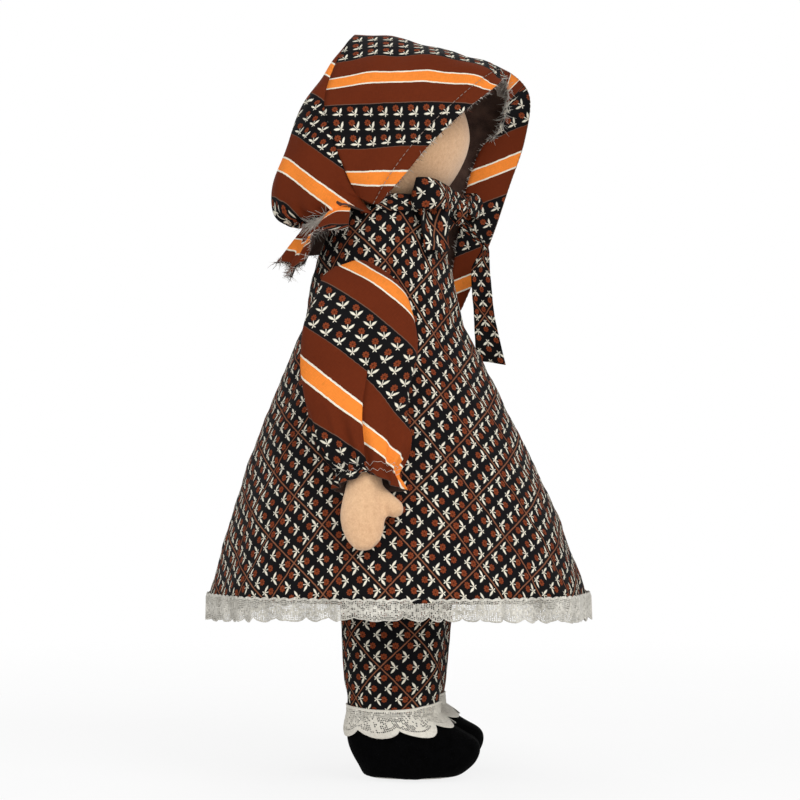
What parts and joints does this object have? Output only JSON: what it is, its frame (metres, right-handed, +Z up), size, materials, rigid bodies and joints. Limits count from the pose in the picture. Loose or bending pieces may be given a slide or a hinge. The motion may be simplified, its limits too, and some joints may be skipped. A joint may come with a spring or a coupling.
{
  "type": "cloth doll",
  "caption": "Soft cloth rag doll with a plain face, long flared print dress, gathered sleeves, felt boots and a large tied sunbonnet, jointed at neck, shoulders and hips.",
  "frame": {"origin": "on the ground under the middle of the skirt's hem", "axes": "+Z up, the doll faces -Y, its right hand is on the -X side"},
  "size_m": [0.244, 0.244, 0.4563],
  "materials": {
    "flesh_cotton": "brushed plain cotton, matt",
    "fibre_fill": "white fibre filling, matt",
    "trellis_print_cotton": "black cotton printed with a brown trellis and small sprigs, matt",
    "stripe_print_cotton": "cotton printed in brown, orange and sprigged black stripes, matt",
    "lace": "off-white cotton lace, matt",
    "elastic": "white woven elastic, matt",
    "black_felt": "black felt, matt with a soft nap"
  },
  "bodies": {
    "torso": {"torso_skin": "flesh_cotton", "torso_stuffing": "fibre_fill", "dress_bodice": "trellis_print_cotton", "dress_skirt": "trellis_print_cotton", "skirt_hem_lace": "lace"},
    "neck": {"neck": "flesh_cotton", "bonnet_tie_right": "trellis_print_cotton", "bonnet_tie_left": "trellis_print_cotton", "bow_knot": "trellis_print_cotton", "bow_loop_right": "trellis_print_cotton", "bow_loop_left": "trellis_print_cotton", "bow_tail_right": "trellis_print_cotton", "bow_tail_left": "trellis_print_cotton"},
    "head": {"head_skin": "flesh_cotton", "head_stuffing": "fibre_fill", "bonnet_brim": "stripe_print_cotton", "bonnet_crown": "stripe_print_cotton", "bonnet_frill": "stripe_print_cotton", "bonnet_nape_elastic": "elastic"},
    "shoulder_right": {"shoulder_tab_right": "flesh_cotton"},
    "arm_right": {"arm_skin_right": "flesh_cotton", "arm_stuffing_right": "fibre_fill", "sleeve_right": "stripe_print_cotton", "cuff_elastic_right": "elastic"},
    "leg_right": {"leg_skin_right": "trellis_print_cotton", "leg_stuffing_right": "fibre_fill", "boot_skin_right": "black_felt", "boot_stuffing_right": "fibre_fill", "ankle_lace_right": "lace"},
    "shoulder_left": {"shoulder_tab_left": "flesh_cotton"},
    "arm_left": {"arm_skin_left": "flesh_cotton", "arm_stuffing_left": "fibre_fill", "sleeve_left": "stripe_print_cotton", "cuff_elastic_left": "elastic"},
    "leg_left": {"leg_skin_left": "trellis_print_cotton", "leg_stuffing_left": "fibre_fill", "boot_skin_left": "black_felt", "boot_stuffing_left": "fibre_fill", "ankle_lace_left": "lace"}
  },
  "joints": [
    {"name": "head_turn", "type": "hinge", "parent": "torso", "child": "neck", "pos_m": [0, 0.006, 0.3583], "axis": [0, 0, 1], "range_deg": [-15, 15], "stiffness_Nm_per_rad": 0.05},
    {"name": "head_nod", "type": "hinge", "parent": "neck", "child": "head", "pos_m": [0, 0.006, 0.3583], "axis": [1, 0, 0], "range_deg": [-5, 5], "stiffness_Nm_per_rad": 0.3},
    {"name": "arm_swing_right", "type": "hinge", "parent": "torso", "child": "shoulder_right", "pos_m": [-0.05561, 0.01629, 0.29368], "axis": [-0.9455, 0, 0.3256], "range_deg": [-40, 55]},
    {"name": "arm_lift_right", "type": "hinge", "parent": "shoulder_right", "child": "arm_right", "pos_m": [-0.04975, 0.01629, 0.3107], "axis": [0, 1, 0], "range_deg": [0, 70]},
    {"name": "leg_swing_right", "type": "hinge", "parent": "torso", "child": "leg_right", "pos_m": [-0.0306, 0, 0.19], "axis": [-1, 0, 0], "range_deg": [-30, 35]},
    {"name": "arm_swing_left", "type": "hinge", "parent": "torso", "child": "shoulder_left", "pos_m": [0.05561, 0.01629, 0.29368], "axis": [-0.9455, 0, -0.3256], "range_deg": [-40, 55]},
    {"name": "arm_lift_left", "type": "hinge", "parent": "shoulder_left", "child": "arm_left", "pos_m": [0.04975, 0.01629, 0.3107], "axis": [0, -1, 0], "range_deg": [0, 70]},
    {"name": "leg_swing_left", "type": "hinge", "parent": "torso", "child": "leg_left", "pos_m": [0.0306, 0, 0.19], "axis": [-1, 0, 0], "range_deg": [-30, 35]}
  ]
}
